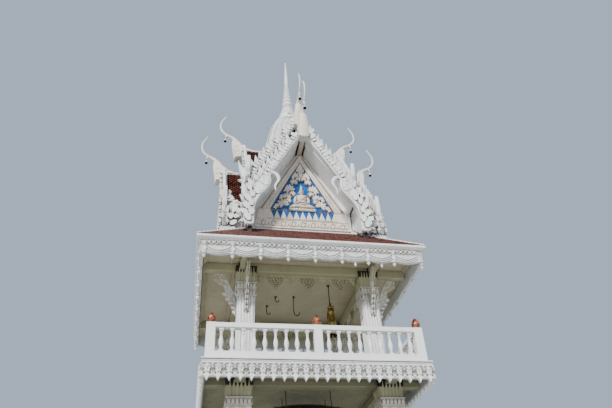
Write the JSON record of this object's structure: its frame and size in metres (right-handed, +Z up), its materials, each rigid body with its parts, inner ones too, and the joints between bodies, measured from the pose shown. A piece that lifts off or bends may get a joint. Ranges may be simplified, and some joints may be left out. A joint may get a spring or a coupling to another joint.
{
  "type": "temple bell tower",
  "caption": "Square white temple bell tower with open storeys, balustrades, a skirt roof, a cross-gabled roof with horn finials and a ringed spire, and a hanging bell that swings.",
  "frame": {"origin": "centre of the plinth's underside, on the tower's vertical axis at ground level", "axes": "+Z up along the axis, front faces -Y, +X to the right seen from the front"},
  "size_m": [6.459, 6.459, 20.9],
  "materials": {
    "white_plaster": "white painted cement render, weathered",
    "pediment_plaster": "warm white painted plaster with an azure ground",
    "azure_paint": "azure blue paint on plaster",
    "roof_tile": "dark red-brown clay tiles",
    "bud_terracotta": "terracotta orange paint, stained",
    "bell_brass": "aged cast brass",
    "hook_iron": "dark forged iron",
    "drum_wood": "dark lacquered wood",
    "drum_hide": "stretched hide",
    "rope": "dark twisted rope",
    "chime_metal": "small tarnished bells"
  },
  "bodies": {
    "tower": {"back_hook": "hook_iron", "bell_ceiling": "white_plaster", "bell_column_back_left": "white_plaster", "bell_column_back_right": "white_plaster", "bell_column_front_left": "white_plaster", "bell_column_front_right": "white_plaster", "bell_floor": "white_plaster", "bell_hook": "hook_iron", "bell_railing_back": "white_plaster", "bell_railing_front": "white_plaster", "bell_railing_left": "white_plaster", "bell_railing_right": "white_plaster", "centre_hook": "hook_iron", "drum": "drum_wood", "drum_column_back_left": "white_plaster", "drum_column_back_right": "white_plaster", "drum_column_front_left": "white_plaster", "drum_column_front_right": "white_plaster", "drum_floor": "white_plaster", "drum_railing_back": "white_plaster", "drum_railing_front": "white_plaster", "drum_railing_left": "white_plaster", "drum_railing_right": "white_plaster", "drum_rope_left": "rope", "drum_rope_right": "rope", "eaves_fascia": "white_plaster", "gable_core": "white_plaster", "ground_column_back_left": "white_plaster", "ground_column_back_right": "white_plaster", "ground_column_front_left": "white_plaster", "ground_column_front_right": "white_plaster", "left_hook": "hook_iron", "lower_gable_back": "white_plaster", "lower_gable_front": "white_plaster", "lower_gable_left": "white_plaster", "lower_gable_right": "white_plaster", "lower_gable_roof": "roof_tile", "pediment_back": "pediment_plaster", "pediment_front": "pediment_plaster", "pediment_left": "pediment_plaster", "pediment_right": "pediment_plaster", "plinth": "white_plaster", "skirt_roof": "roof_tile", "spire": "white_plaster", "upper_gable_roof": "roof_tile", "upper_gables": "white_plaster"},
    "bell": {"bell": "bell_brass"}
  },
  "joints": [
    {"name": "bell_swing", "type": "hinge", "parent": "tower", "child": "bell", "pos_m": [0.8, -0.93, 8.7843], "axis": [0, 1, 0], "range_deg": [-20, 20]}
  ]
}
